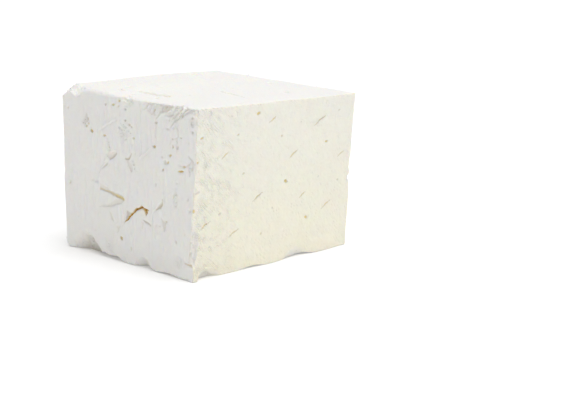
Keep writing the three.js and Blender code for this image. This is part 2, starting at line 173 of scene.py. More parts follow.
def wear_at(x, z):
    """The radius that the edges are worn to."""
    edge = WEAR + (CUT_WEAR - WEAR) * smooth(CUT_X - 2 * WEAR, CUT_X, x)
    return edge + SHOULDER * smooth(2, -10, x) * smooth(UPPER, HEIGHT, z)


def top_rise(x, y):
    """The top stands a little higher along the near side and towards the old end."""
    rise = NEAR_RISE * smooth(CUT_X, CUT_X - 11, x) + END_RISE * smooth(-4, -20, x)
    return rise * smooth(HALF_Y, 8, y)


def foot_share(y):
    """The stretches of the cut's foot that spread out on the table."""
    return smooth(-43, -46, y) + 0.6 * bump(y, -2, 13) + 0.8 * bump(y, 32, 14)


def form(points):
    """Moves points of the nominal brick, or of its broken edges, to where the real block has them."""
    x, y, z = points.T
    wear = wear_at(x, z)
    core = np.column_stack([
        np.clip(x, END_X + wear, CUT_X - wear),
        np.clip(y, -HALF_Y + wear, HALF_Y - wear),
        np.clip(z, wear, HEIGHT - wear),
    ])
    out = points - core
    reach = np.linalg.norm(out, axis=1)
    keep = np.where(reach > wear, wear / np.maximum(reach, 1e-9), 1)
    made = core + out * keep[:, None]

    rise = z / HEIGHT
    along = (x - END_X) / LENGTH
    across = (y + HALF_Y) / WIDTH
    free = smooth(0, RIM_BAND, z)

    def near(distance):
        return SWELL * smooth(WAVE_REACH, 0, distance)

    made[:, 1] += near(y + HALF_Y) * swell_at(x, z, 0.4) * free
    made[:, 1] += near(HALF_Y - y) * swell_at(x, z, 2.1) * free
    made[:, 0] += near(x - END_X) * swell_at(y, z, 4) * free
    made[:, 0] += near(CUT_X - x) * swell_at(y, z, 5.2) * free * CALM
    made[:, 2] += near(HEIGHT - z) * swell_at(x, y, 1.3) * CALM

    made[:, 2] += top_rise(x, y) * smooth(UPPER, HEIGHT, z) - TOP_SAG * along * across * rise
    made[:, 0] -= CUT_LEAN * (1 - rise) * along
    foot = smooth(FOOT_HEIGHT + 1.5, FOOT_HEIGHT - 1.5, z) * foot_share(y)
    made[:, 0] += FOOT_DEPTH * foot * (x > CUT_X - WEAR)
    made[:, 2] += rim_lift(x, y) * smooth(RIM_BAND, 0, z)
    return made


def edge_distance(nominal):
    """How far each point of the nominal brick lies from the nearest edge of its face."""
    x, y, z = nominal.T
    gaps = np.sort([x - END_X, CUT_X - x, y + HALF_Y, HALF_Y - y, z, HEIGHT - z], axis=0)
    return gaps[1]


def box_mesh():
    """Points and four-sided faces of the nominal brick, split evenly, with shared edges."""
    sizes = np.array([LENGTH, WIDTH, HEIGHT])
    counts = np.round(sizes / MESH_STEP).astype(int)
    lows = np.array([END_X, -HALF_Y, 0.0])
    faces, numbers = [], []
    for axis in range(3):
        first, second = (axis + 1) % 3, (axis + 2) % 3
        i, j = np.meshgrid(np.arange(counts[first] + 1), np.arange(counts[second] + 1), indexing="ij")
        for high in (0, 1):
            number = np.zeros((*i.shape, 3), int)
            number[..., first], number[..., second] = i, j
            number[..., axis] = counts[axis] * high
            start = sum(len(n) for n in numbers)
            ids = start + np.arange(i.size).reshape(i.shape)
            quad = np.stack([ids[:-1, :-1], ids[1:, :-1], ids[1:, 1:], ids[:-1, 1:]], axis=-1).reshape(-1, 4)
            faces.append(quad if high else quad[:, ::-1])
            numbers.append(number.reshape(-1, 3))
    numbers = np.concatenate(numbers)
    keys = numbers @ np.array([1, POINTS_IN_ROW, POINTS_IN_ROW**2])
    _, kept, where = np.unique(keys, return_index=True, return_inverse=True)
    share = numbers[kept] / counts
    nominal = lows + share * sizes
    for axis, high in enumerate((CUT_X, HALF_Y, HEIGHT)):
        nominal[numbers[kept][:, axis] == counts[axis], axis] = high
    return nominal, where.reshape(-1)[np.concatenate(faces)]


# Broken edges, in the nominal brick

def interpolate(place, stops, column):
    """A column of the stops [place, ...] read at each place, and 0 past their ends."""
    stops = np.array(stops, float)
    return np.interp(place, stops[:, 0], stops[:, column], left=0, right=0)


def break_edge(points, jag, along, first, second, stops):
    """Flattens an edge. `first` and `second` are (axis, edge value, way in). Each stop is
    [place, inset on the first face, inset on the second]."""
    in_first = interpolate(points[:, along], stops, 1) * jag
    in_second = interpolate(points[:, along], stops, 2) * jag
    (axis_a, edge_a, way_a), (axis_b, edge_b, way_b) = first, second
    u = (points[:, axis_a] - edge_a) * way_a
    v = (points[:, axis_b] - edge_b) * way_b
    broken = (in_first > LEAST_INSET) & (in_second > LEAST_INSET)
    safe_a = np.where(broken, in_first, 1)
    safe_b = np.where(broken, in_second, 1)
    short = 1 - u / safe_a - v / safe_b
    move = np.where(broken & (short > 0), short, 0) / (1 / safe_a**2 + 1 / safe_b**2)
    points[:, axis_a] += way_a * move / safe_a
    points[:, axis_b] += way_b * move / safe_b
    return move


def break_corner(points, bumps, corner, insets):
    """Takes a corner off nearly flat. `insets` are signed lengths along the three edges."""
    tip, insets = np.array(corner, float), np.array(insets, float)
    normal = 1 / insets
    reach = 1 / np.linalg.norm(normal)
    normal = normal * reach
    height = (points - tip) @ normal - reach + bumps
    move = np.where(height < 0, -height, 0)
    points += move[:, None] * normal
    return move


def scoop(points, bumps, centre, radii):
    """Hollows an edge by an ellipsoid whose centre lies outside the block."""
    away = (points - np.array(centre)) / np.array(radii)
    reach = np.linalg.norm(away, axis=1) * (1 + 0.15 * bumps)
    inside = reach < 1
    pushed = np.array(centre) + away / np.maximum(reach, 0.05)[:, None] * np.array(radii)
    points[inside] = pushed[inside]


def dent(points, bumps, axis, edge, way, along, centre, wide, tall, deep):
    """A soft hollow in a face that gets deeper down to the table. Gives how deep in it each point is."""
    u = np.abs(points[:, along] - centre) / wide
    v = points[:, 2] / tall
    reach = (u**1.4 + v**1.4) ** (1 / 1.4) * (1 + 0.35 * bumps)
    share = smooth(1, 0.3, reach)
    inward = (points[:, axis] - edge) * way
    pushed = (inward < deep * share) & (share > 0)
    points[pushed, axis] = edge + way * deep * share[pushed]
    return share * pushed


IN, OUT = 1, -1
TOP = (2, HEIGHT, OUT)
SIDE = (1, -HALF_Y, IN)
BACK = (1, HALF_Y, OUT)
END = (0, END_X, IN)
CUT = (0, CUT_X, OUT)


def torn_by(move):
    return smooth(0, TORN_FROM, move)


def break_edges(points):
    """Breaks the nominal brick's edges and corners. Gives how torn and how hollow each point is, which sets
    the shade painted into it.
    """
    torn = np.zeros(len(points))
    hollow = np.zeros(len(points))
    jag = 1 + EDGE_JAG * GRAIN_B.rough(points, 2.6)
    bumps = CORNER_BUMPS * GRAIN_A.rough(points, 6)
    # Beside the near corner the long edge is broken off flat
    facet = [[-45, 0, 0], [-42, 3, 2.6], [-38, 5, 4.2], [-35, 4.4, 3.4], [-32, 2, 1.4], [-30, 0, 0]]
    # The axis that each edge runs along, its two faces and its stops
    edges = [
        (0, SIDE, TOP, [[-9, 0, 0], [-7, 0.8, 0.8], [-4, 2, 2], [0, 3, 3.2], [3, 2.2, 2.2], [6, 0.8, 0.7],
                        [9, 0, 0]]),
        (0, SIDE, TOP, [[11, 0, 0], [17, 0.9, 0.9], [24, 1.5, 1.4], [30, 1.5, 1.5], [36, 1.6, 1.5],
                        [42, 1.4, 1.3], [47, 1.3, 1.3]]),
        (0, BACK, TOP, [[-37, 0, 0], [-27, 2.2, 2.4], [-19, 1.4, 1.2], [-11, 0, 0]]),
        (0, BACK, TOP, [[9, 0, 0], [17, 1.8, 2.6], [26, 1.2, 1.6], [33, 0, 0]]),
        (1, END, TOP, [[-1, 0, 0], [7, 1.8, 2], [15, 1, 1.2], [24, 1.8, 2.4], [32, 0, 0]]),
        (2, CUT, SIDE, [[6.6, 0, 0], [7.6, 1.9, 2.4], [12, 1.3, 3.2], [18, 1, 3.2], [26, 0.6, 2.8],
                        [33, 0, 0]]),
        (2, CUT, SIDE, [[35, 0.1, 0.1], [38, 0.9, 0.7], [42, 0.3, 0.3], [50, 1, 0.8], [55, 0.3, 0.3],
                        [62, 0.3, 0.3]]),
        (2, CUT, SIDE, [[63, 0, 0], [66, 1.2, 0.8], [70, 1.6, 1], [74, 0, 0]]),
        (2, CUT, BACK, [[25, 0, 0], [33, 1.5, 1.8], [40, 1, 1], [47, 0, 0]]),
    ]
    for along, first, second, stops in edges:
        move = break_edge(points, jag, along, first, second, stops)
        torn = np.maximum(torn, torn_by(move))
        # The upright broken edges get a little grey shade painted on
        if along == 2:
            hollow = np.maximum(hollow, 0.11 * torn_by(move))
    chip = break_corner(points, bumps, (END_X, -HALF_Y, HEIGHT + 0.6), (17, 10, -5.8))
    chip = np.maximum(chip, break_edge(points, 1 + 0.2 * bumps, 0, SIDE, TOP, facet))
    far = break_corner(points, bumps, (END_X, HALF_Y, HEIGHT), (4, -6, -4))
    toe = break_corner(points, bumps, (END_X, -HALF_Y, 0), (3.5, 3.5, 3.2))
    torn = np.maximum(torn, 0.5 * torn_by(chip))
    torn = np.maximum(torn, torn_by(far + toe))
    for centre, radii in [
        ((12, -HALF_Y - 2.6, -2), (8, 7, 6.5)),
        ((END_X - 4.2, -HALF_Y - 4, 37), (7, 7.5, 7)),
        ((END_X - 4.6, HALF_Y + 4.4, 52), (6.8, 7, 9)),
    ]:
        scoop(points, bumps, centre, radii)
    # Soft hollows down at the table, each with the grey-brown shade that is painted into it
    for (axis, edge, way), along, centre, wide, tall, deep, painted_shade in [
        (SIDE, 0, -31, 14, 11.5, 4.8, 0.18),
        (END, 1, -22, 11, 9.5, 4, 0.15),
        (BACK, 0, 18, 12, 8.5, 3.4, 0.15),
        (CUT, 1, -38, 7.4, 7, 3.4, 0.1),
        (CUT, 1, 14, 10, 5.5, 1.6, 0.08),
    ]:
        reach = dent(points, bumps, axis, edge, way, along, centre, wide, tall, deep)
        hollow = np.maximum(hollow, painted_shade * reach)
        torn = np.maximum(torn, 0.7 * reach)
    return torn, hollow


# Relief on a face

class Face:
    """The holes, cracks and flakes of one face. `a` and `b` are places on it, and digging goes inwards. Each
    place also keeps its `hollow` value, the amount of shade painted into it.
    """

    def __init__(self, points, on, axes, waver=0.5):
        self.on = on
        spots = points[on]
        self.spots = spots
        self.a = spots[:, axes[0]] + waver * GRAIN_A.rough(spots, 2.2)
        self.b = spots[:, axes[1]] + waver * GRAIN_B.rough(spots, 2.2)
        self.uneven = GRAIN_C.rough(spots, 1.3, 2)
        self.depth = np.zeros(len(spots))
        self.lift = np.zeros(len(spots))
        self.hollow = np.zeros(len(spots))
        self.torn = np.zeros(len(spots))

    def dig(self, depth, hollow=0.0):
        self.depth = np.maximum(self.depth, depth)
        self.hollow = np.maximum(self.hollow, hollow)

    def turned(self, a, b, turn):
        angle = math.radians(turn)
        u = (self.a - a) * math.cos(angle) + (self.b - b) * math.sin(angle)
        v = (self.b - b) * math.cos(angle) - (self.a - a) * math.sin(angle)
        return u, v

    def hole(self, a, b, wide, tall, deep, turn=0, hollow=1.0):
        u, v = self.turned(a, b, turn)
        reach = ((2 * u / wide) ** 2 + (2 * v / tall) ** 2) * (1 + 0.5 * self.uneven)
        bowl = np.clip(1 - reach, 0, 1)
        self.dig(deep * bowl**0.7, hollow * smooth(0, 0.7, bowl))

    def flake(self, a, b, long, broad, deep, turn):
        """A shallow bowl that deepens along `turn` and ends there in a step."""
        u, v = self.turned(a, b, turn)
        inside = np.clip(1 - (2 * v / broad) ** 2 - np.maximum(2 * u / long, 0) ** 6, 0, 1)
        slope = np.clip(0.5 + u / long, 0, 1)
        self.dig(deep * slope * inside**0.35 * (u < long / 2), 0.4 * smooth(0.6, 1, slope) * inside)

    def along_line(self, stops):
        """How near each point is to each leg of a line of [a, b, width, size], 0 to 1, and the size there."""
        for (a0, b0, wide0, size0), (a1, b1, wide1, size1) in zip(stops, stops[1:]):
            run = np.array([a1 - a0, b1 - b0])
            t = np.clip(((self.a - a0) * run[0] + (self.b - b0) * run[1]) / (run @ run), 0, 1)
            off = np.hypot(self.a - a0 - t * run[0], self.b - b0 - t * run[1])
            wide = wide0 + (wide1 - wide0) * t
            yield np.clip(1 - 2 * off / wide, 0, 1), size0 + (size1 - size0) * t

    def crack(self, stops, hollow=1.0):
        """A V along a line of [a, b, width, depth]."""
        for share, deep in self.along_line(stops):
            self.dig(deep * share**0.8, hollow * smooth(0, 0.6, share))

    def ridge(self, stops):
        """A soft raised line of [a, b, width, height]."""
        for share, high in self.along_line(stops):
            self.lift = np.maximum(self.lift, high * smooth(0, 1, share))

    def sunken(self, corners, hollow=0.15):
        """A patch with a sloping floor, given by corners [a, b, depth] round its middle."""
        corners = np.array(corners, float)
        middle = corners.mean(axis=0)
        for one, two in zip(corners, np.roll(corners, -1, axis=0)):
            side_a, side_b = one - middle, two - middle
            area = side_a[0] * side_b[1] - side_a[1] * side_b[0]
            p = (self.a - middle[0], self.b - middle[1])
            s = (p[0] * side_b[1] - p[1] * side_b[0]) / area
            t = (side_a[0] * p[1] - side_a[1] * p[0]) / area
            inside = (s >= 0) & (t >= 0) & (s + t <= 1)
            floor = middle[2] + s * side_a[2] + t * side_b[2]
            self.dig(np.where(inside, floor, 0), np.where(inside, hollow * smooth(0, 0.3, floor), 0))

    def ledge(self, line, depth, fade):
        """Above a line of [a, b] the face steps back by `depth`, and fades out over `fade`."""
        line = np.array(line, float)
        height = self.b - np.interp(self.a, line[:, 0], line[:, 1])
        inside = (self.a > line[0, 0]) & (self.a < line[-1, 0])
        ends = smooth(0, 3, self.a - line[0, 0]) * smooth(0, 3, line[-1, 0] - self.a)
        step = smooth(0, 0.8, height) * smooth(fade, fade * 0.6, height) * inside * ends
        self.dig(depth * step)
        self.torn = np.maximum(self.torn, 0.4 * step)
        return step

    def combed(self, inside, turn, amount, hollow):
        """Ridges torn along one way."""
        along, across = self.turned(0, 0, turn)
        ridges = GRAIN_C.rough(np.column_stack([0.2 * along, across, 0 * across]), 2.1, 2)
        self.depth += amount * inside * (0.5 + ridges)
        self.hollow = np.maximum(self.hollow, hollow * inside * smooth(-0.1, 0.7, ridges))

    def rough_patch(self, a, b, wide, tall, amount, turn=0):
        """A torn patch of small crumbs."""
        u, v = self.turned(a, b, turn)
        inside = smooth(1, 0.5, np.hypot(2 * u / wide, 2 * v / tall))
        lumps = np.abs(GRAIN_C.rough(self.spots, 1.6))
        self.depth += amount * inside * (lumps - 0.2)
        # Grey shade is painted between the crumbs
        self.hollow = np.maximum(self.hollow, 0.15 * inside * smooth(0.3, 0.9, lumps) * min(amount, 1))
        self.torn = np.maximum(self.torn, inside)

    def strewn(self, draws, half_wide, hole_count, cracks):
        """Holes strewn over a face, and cracks that wander across it, where the solid has them."""
        for _ in range(hole_count):
            a = (next(draws) * 2 - 1) * (half_wide - 5)
            b = 10 + next(draws) * (HEIGHT - 18)
            size = 1.6 + 2 * next(draws) ** 2
            shape = 0.5 + 0.5 * next(draws)
            turn = (next(draws) - 0.5) * 80
            self.hole(a, b, size, size * shape, 0.5 * size + 0.3, turn, hollow=0.72)
        for from_a, from_b, to_a, to_b, width, depth in cracks:
            stops = []
            for t in (0, 0.3, 0.55, 0.8, 1):
                gape = math.sin(math.pi * (0.12 + 0.76 * t))
                stray = 2.4 * (next(draws) - 0.5) * gape
                a = from_a + (to_a - from_a) * t + stray
                b = from_b + (to_b - from_b) * t + 1.6 * (next(draws) - 0.5)
                stops.append([a, b, width * gape, 0.6 + depth * gape])
            self.crack(stops, hollow=0.9)


def side_pits(face):
    # Each hole: a, b, wide, tall, deep, turn, and how much shade, grey to ochre, is painted into it
    for a, b, wide, tall, deep, turn, hollow in [
        (-43, 66.3, 1.7, 0.9, 0.4, 20, 0.15), (-45.5, 66.7, 1.1, 0.8, 0.32, 0, 0.15),
        (-26.2, 57.4, 2.5, 1.7, 1.4, -30, 0.7), (-16.3, 56.8, 3, 1, 0.72, 8, 0.49),
        (-14.8, 70.8, 1.8, 1.2, 0.4, 30, 0.27), (-9.5, 71.2, 2.4, 0.9, 0.45, 12, 0.46),
        (-5.2, 73.2, 2.2, 1.1, 0.4, 10, 0.6), (-1, 70.2, 2, 1.3, 0.64, 0, 0.15),
        (-5.8, 71, 1.4, 0.9, 0.48, 40, 0.27), (-1.2, 65.1, 1.7, 1.1, 0.64, 0, 0.27),
        (-7.5, 64.5, 1.7, 0.7, 0.32, 0, 0.1), (-4.5, 57.7, 2.4, 0.7, 0.32, 10, 0.1),
        (-1.2, 56.7, 1.8, 0.8, 0.48, 15, 0.15), (1.6, 63.5, 1.5, 1.2, 0.64, -20, 0.32),
        (3, 62.8, 1.2, 0.9, 0.56, 0, 0.32), (4.3, 57.7, 1.7, 1.1, 0.72, 0, 0.37),
        (3.2, 54.9, 1.4, 0.7, 0.32, 0, 0.1), (18.5, 56, 2.2, 1.3, 1.2, 10, 0.54),
        (18.9, 71.6, 1.2, 2.8, 0.64, -35, 0.37), (16.4, 74, 1.4, 1, 0.4, 0, 0.1),
        (20.3, 66.5, 1.7, 1.1, 0.72, 20, 0.27), (28.3, 64.9, 3, 0.9, 0.48, -10, 0.15),
        (29.2, 68.6, 1.1, 1.8, 0.48, 0, 0.1), (31, 60.9, 1.3, 0.8, 0.48, 15, 0.27),
        (31.1, 57.8, 1, 2, 0.72, 25, 0.32), (36.5, 61.8, 1.2, 0.8, 0.4, 0, 0.27),
        (41.3, 60.4, 0.9, 1.3, 0.32, 0, 0.1), (29.4, 53.6, 2, 1, 0.48, 25, 0.47),
        (24, 52, 1.8, 0.8, 0.32, 0, 0.15), (26, 50.4, 2.2, 2.3, 0.56, 0, 0.15),
        (27.8, 50.3, 2, 1.2, 0.72, 25, 0.49), (24.5, 46.7, 1.8, 1.3, 0.56, 35, 0.43),
        (35.9, 47.5, 4, 0.9, 0.8, 3, 0.72), (37.7, 49.8, 1.9, 1.1, 0.72, 15, 0.42),
        (4.4, 46, 1.2, 0.9, 0.4, 0, 0.1), (4.7, 44.5, 1, 0.8, 0.32, 0, 0.1),
        (-6.2, 11.2, 2.6, 1.5, 1.5, -50, 0.8), (32.1, 16.2, 1.6, 2, 0.56, 0, 0.1),
        (37.8, 20.3, 1.1, 1.8, 0.48, 0, 0.1), (41.6, 31.3, 2.6, 1.6, 0.56, 40, 0.1),
        (40.2, 35.8, 2.2, 1.3, 0.48, 45, 0.12), (30.3, 35.7, 1, 3, 0.48, 0, 0.12),
        (19.3, 39.7, 1.2, 2.6, 0.4, 0, 0.12), (33, 42, 1.4, 0.9, 0.32, 0, 0.1),
        (32.1, 37.5, 0.9, 1.8, 0.4, 0, 0.1), (-43.6, 31.5, 1.6, 2, 0.64, 0, 0.15),
        (20.8, 21.4, 1.3, 0.9, 0.48, 0, 0.1), (18.4, 21.2, 1, 0.8, 0.32, 0, 0.1),
        (25.6, 24.1, 1.4, 1, 0.48, 0, 0.32), (-37.5, 16, 1.1, 0.9, 0.3, 0, 0.1),
        (-31, 10.6, 1.4, 0.9, 0.3, 0, 0.1), (-25, 11.6, 1.1, 1, 0.3, 0, 0.1),
        (0.8, 7.4, 1.2, 2.8, 0.4, 0, 0.15), (0.7, 14.7, 1.8, 1.4, 0.32, 0, 0.05),
        (-28.9, 62.6, 1.1, 1.8, 0.32, 20, 0.37), (-28.2, 60.6, 1.3, 1, 0.32, 0, 0.37),
        (-29.8, 59.3, 1.6, 1, 0.4, 30, 0.37), (-29.7, 64.6, 0.9, 1.1, 0.3, 0, 0.27),
        (44, 71.1, 1.6, 1.8, 0.4, 0, 0.15), (43, 68.5, 1.3, 2, 0.4, 20, 0.15),
        (43.8, 65.2, 1.5, 1.3, 0.6, 20, 0.25),
    ]:
        face.hole(a, b, wide, tall, deep, turn, hollow)


def side_facets(face):
    """Flat-floored dips where curd broke away, deepest along their lower edges. Each starts with the grey
    shade painted into it.
    """
    for hollow, corners in [
        (0.11, [[-15.9, 49.6, NO_DEPTH], [-15.3, 46.9, 0.3], [-13.5, 46.5, 0.6], [-10.5, 48.3, 0.9],
               [-8.3, 49.9, 0.8], [-11.9, 49.7, NO_DEPTH]]),
        (0.08, [[-16, 55.9, NO_DEPTH], [-14.2, 55.7, 0.3], [-12.6, 50.5, 0.5], [-14.5, 49.3, 0.4],
               [-15.4, 52.8, NO_DEPTH]]),
        (0.12, [[-33.6, 60.6, 0.2], [-32.4, 63.1, NO_DEPTH], [-30.7, 66, NO_DEPTH], [-29.3, 63.9, 0.5],
               [-29, 61.6, 0.7], [-31, 59.6, 0.5]]),
        (0, [[-21.8, 34.2, 0.7], [-21.3, 38.2, 0.8], [-19.7, 40.4, 0.9], [-16.7, 42.7, 0.8],
             [-14.4, 44.4, 0.5], [-19, 48, NO_DEPTH], [-27, 41, NO_DEPTH], [-28, 35, NO_DEPTH]]),
        (0.11, [[-21, 34.7, NO_DEPTH], [-21.2, 31.6, 0.5], [-14.2, 31.3, 0.7], [-4.1, 29.7, 0.8],
               [-3.7, 30.9, 0.3], [-14.1, 32.3, 0.1], [-17.8, 33.3, NO_DEPTH]]),
        (0.12, [[-23.5, 23.2, NO_DEPTH], [-17.5, 23.7, 0.35], [-10.8, 25.2, 0.55], [-4.9, 27.5, 0.7],
               [-4.1, 28.8, 0.4], [-9.2, 28.9, NO_DEPTH], [-13.7, 26.3, NO_DEPTH], [-18.9, 24.6, NO_DEPTH]]),
        (0.19, [[-1.8, 25, 0.6], [-1.8, 23.4, 0.6], [-2.3, 21.1, 1], [-0.4, 22.5, 1.3],
               [1.1, 24.1, 0.9], [-0.7, 24.5, 0.5]]),
        (0.13, [[21.3, 25.7, NO_DEPTH], [22.2, 23.8, 0.3], [22.8, 21.3, 0.5], [24.1, 19, 0.7],
               [25.2, 22.1, 0.7], [25.3, 24.3, 0.3], [23.3, 24.9, NO_DEPTH]]),
        (0.09, [[-15.3, 23.3, NO_DEPTH], [-13.5, 21.1, 0.3], [-12.9, 19.1, 0.5], [-11.1, 17.5, 0.5],
               [-11.4, 20.5, NO_DEPTH], [-13.4, 22.9, NO_DEPTH]]),
        (0.1, [[-8.9, 17.4, NO_DEPTH], [-8.7, 14.9, 0.3], [-8.7, 13.3, 0.5], [-7.2, 14.5, 0.5],
               [-6.4, 16.7, 0.2], [-7.5, 17.7, NO_DEPTH]]),
        (0.11, [[-1.2, 47.9, 0.3], [-0.2, 45.4, 0.4], [2.5, 42.2, 0.6], [3.9, 44.2, 0.2],
               [2, 47.5, NO_DEPTH]]),
        (0.09, [[34, 50.5, NO_DEPTH], [34.9, 49.4, 0.3], [38.2, 49.4, 0.6], [38.5, 50.9, NO_DEPTH]]),
        (0.06, [[42.2, 71.2, 0.2], [42.6, 67.4, 0.3], [43.6, 66.4, NO_DEPTH],
               [45, 68, 0.3], [45, 71.2, 0.3]]),
    ]:
        face.sunken(corners, hollow)


def side_cracks(face):
    """The deep crack and the thin ones, each with how much shade, grey to ochre, is painted inside it."""
    for hollow, stops in [
        (1, [[-3.1, 18.9, 0.4, 1], [-1.5, 20.4, 1.2, 1.7], [0.4, 22.8, 1.7, 2.2], [2.2, 23.9, 1.1, 2],
             [4.6, 26, 1.3, 2.1], [6.6, 26.6, 1, 2], [8.6, 27.8, 1.7, 2.4], [10.4, 27, 1.2, 2.1],
             [12.2, 27, 1, 1.8], [13.3, 27.3, 0.5, 1]]),
        (0.9, [[10.6, 26.8, 1, 1.7], [11.6, 25.2, 1.7, 2], [12.9, 27, 0.8, 1.5]]),
        (0.34, [[-20.8, 31.6, 0.9, 0.5], [-14, 31.1, 1.5, 0.7], [-9, 30.3, 2.2, 0.8]]),
        (0.45, [[-9, 30.3, 2, 0.8], [-4, 29.3, 2.2, 0.9]]),
        (0.3, [[-13.5, 46.3, 0.7, 0.9], [-10.9, 47.5, 1.1, 1.3], [-8.2, 49.3, 0.7, 1]]),
        (0.28, [[9.8, 21.9, 0.7, 0.5], [12.4, 21.3, 1, 0.9], [14.8, 20.3, 0.7, 0.5]]),
        (0.1, [[9.5, 20.8, 0.9, 0.4], [9, 18.4, 1, 0.5]]),
        (0.3, [[18.7, 27.9, 0.6, 0.5], [20.9, 29.6, 1.8, 1.2], [22.9, 31.2, 1.2, 1.3],
                [23.2, 33.5, 0.6, 0.4]]),
        (0.05, [[24.1, 42, 0.7, 0.2], [24.1, 34, 0.9, 0.4], [24.2, 27, 0.8, 0.3]]),
        (0.3, [[-1.4, 48.1, 1, 0.6], [0.7, 48.4, 1.5, 1.2], [1.9, 49.6, 1.2, 1.2], [2.7, 50.8, 0.6, 0.6]]),
        (0.12, [[38, 49.8, 1, 0.6], [41.4, 51.4, 1, 0.6]]),
        (0.1, [[33.4, 66.3, 1, 0.5], [34.4, 64.7, 1.3, 0.7], [34.3, 62, 0.9, 0.4]]),
        (0.1, [[30.1, 66, 0.9, 0.4], [32.1, 68.3, 1.3, 0.8], [35.4, 70.3, 1, 0.6]]),
        (0.1, [[40.9, 54.5, 0.9, 0.4], [43.4, 52.5, 1.2, 0.8], [42.6, 49, 1.1, 0.6]]),
        (0.1, [[40.2, 50, 0.8, 0.4], [41.4, 46.6, 1, 0.6]]),
        (0.32, [[37.8, 7.8, 0.8, 0.6], [40.6, 7.4, 1.4, 1], [44, 7.1, 1.2, 1.1]]),
    ]:
        face.crack(stops, hollow)
    # Seams between curds: a groove with a soft ridge beside it
    for stops in [
        [[-21, 57.8, 0.8, 0.15], [-13.5, 61.8, 0.9, 0.25], [-6.9, 64.6, 0.8, 0.2]],
        [[9.4, 49.8, 0.8, 0.15], [13.6, 52.1, 0.9, 0.2], [17.1, 54.8, 0.7, 0.15]],
        [[19.1, 55, 0.8, 0.2], [22.4, 51.6, 0.9, 0.3]],
        [[20, 70, 0.9, 0.2], [19.8, 62, 1, 0.3], [20.2, 56, 0.8, 0.2]],
        [[15.3, 21.3, 0.7, 0.2], [15.7, 23.6, 0.8, 0.3], [16.8, 26.1, 0.8, 0.3], [18.9, 28, 0.8, 0.3]],
    ]:
        face.crack(stops, hollow=0)
        face.ridge([[a - 0.6, b + 0.5, 1.1, deep] for a, b, _, deep in stops])


def side_ridges(face):
    """Torn edges that stand up a little."""
    for stops in [
        [[-21.8, 34.4, 1.3, 0.3], [-21.2, 38.3, 1.5, 0.6], [-19.5, 41, 1.6, 0.65], [-16.8, 44.6, 1.5, 0.6],
         [-14.4, 47.4, 1.2, 0.2]],
        [[-8.4, 17.9, 1.2, 0.2], [-9.8, 16.2, 1.4, 0.4], [-10.6, 14, 1.2, 0.2]],
        [[-2.2, 18.4, 1, 0.3], [1.5, 21.4, 1, 0.4], [3.6, 23.6, 1, 0.4], [6.5, 25.2, 1, 0.3],
         [9.4, 25.9, 0.8, 0.2]],
        [[3.1, 50.1, 1.2, 0.2], [2.6, 48.4, 1.6, 0.5], [3.6, 46.6, 1.4, 0.4], [4, 44.6, 1, 0.2]],
        [[33.9, 67.5, 1, 0.4], [34.8, 68.7, 1.4, 0.8], [37.4, 69.9, 1.5, 0.9], [40, 71, 1.5, 0.9],
         [42.5, 72, 1.7, 1], [45.1, 72.8, 1.6, 1], [46.3, 72.2, 1.2, 0.8]],
        [[22.4, 69.2, 1, 0.4], [24.3, 70.6, 1.4, 0.8], [27, 71.4, 1.5, 0.8], [28.5, 71.1, 1, 0.4]],
        [[26.7, 69.9, 1, 0.6], [29.8, 70, 1.1, 0.7]],
        [[22.6, 69.8, 0.9, 0.4], [24.2, 71, 1.2, 0.8], [27.2, 71.4, 1.2, 0.7]],
        [[27.5, 71.8, 0.9, 0.5], [30, 73.6, 1, 0.8], [32.4, 75.4, 1, 0.6]],
        [[30.7, 70.8, 0.9, 0.4], [33.6, 73, 1, 0.8], [38.4, 75.8, 1, 0.6]],
        [[18.2, 71.6, 0.9, 0.4], [19.3, 73.2, 1, 0.7], [20.5, 74.8, 0.9, 0.5]],
    ]:
        face.ridge(stops)


def side_rim(face):
    """The worn band under the top edge, towards the cut, and the crumbled nick beside it."""
    rim = [[11, 73.5], [14.8, 70.2], [17.6, 69.6], [21, 68.8], [22.6, 69.5], [24.3, 70.6], [27, 71.2],
           [28.3, 70], [30.5, 69.6], [33.4, 68.2], [37.4, 70], [42.5, 72.2], [45.1, 73], [47, 73.4]]
    face.combed(face.ledge(rim, depth=0.5, fade=9), turn=50, amount=0.2, hollow=0.03)
    for from_a, from_b, to_a, to_b, deep in [
        (12.4, 71.5, 15, 74.8, 0.6), (14.6, 71, 18, 75, 0.6), (17, 70, 20.6, 74.6, 0.7),
        (20.2, 68.8, 24.4, 73.6, 1), (23.6, 71.2, 27.4, 75, 0.8), (26.6, 71.8, 32.4, 75.8, 1.1),
        (28.8, 70.4, 34.8, 75.4, 0.8), (31, 69.4, 38.4, 75.6, 1.1), (33.6, 69, 37, 72.4, 0.8),
        (35.2, 70.4, 41.6, 75.4, 1), (38.6, 71.6, 43.6, 75, 0.8), (41.6, 72.6, 45.4, 74.8, 0.6),
    ]:
        face.crack([[from_a, from_b, 1, 0.5 + 0.3 * deep], [to_a, to_b, 1.4, 0.6 + 0.7 * deep]], hollow=0.06)
        face.ridge([[from_a + 0.9, from_b - 0.5, 1, 0.4 * deep], [to_a + 0.9, to_b - 0.5, 1.2, 0.6 * deep]])
    face.hole(27.4, 73.6, 7.6, 3.2, 1, 15, hollow=0.1)
    face.hole(37.6, 71.2, 1.4, 2.2, 0.7, -30, hollow=0.35)
    nick = [[-8, 73.5], [-4, 71.8], [0, 71], [4, 72.2], [7, 74]]
    face.combed(face.ledge(nick, depth=0.05, fade=9), turn=60, amount=0.3, hollow=0.03)


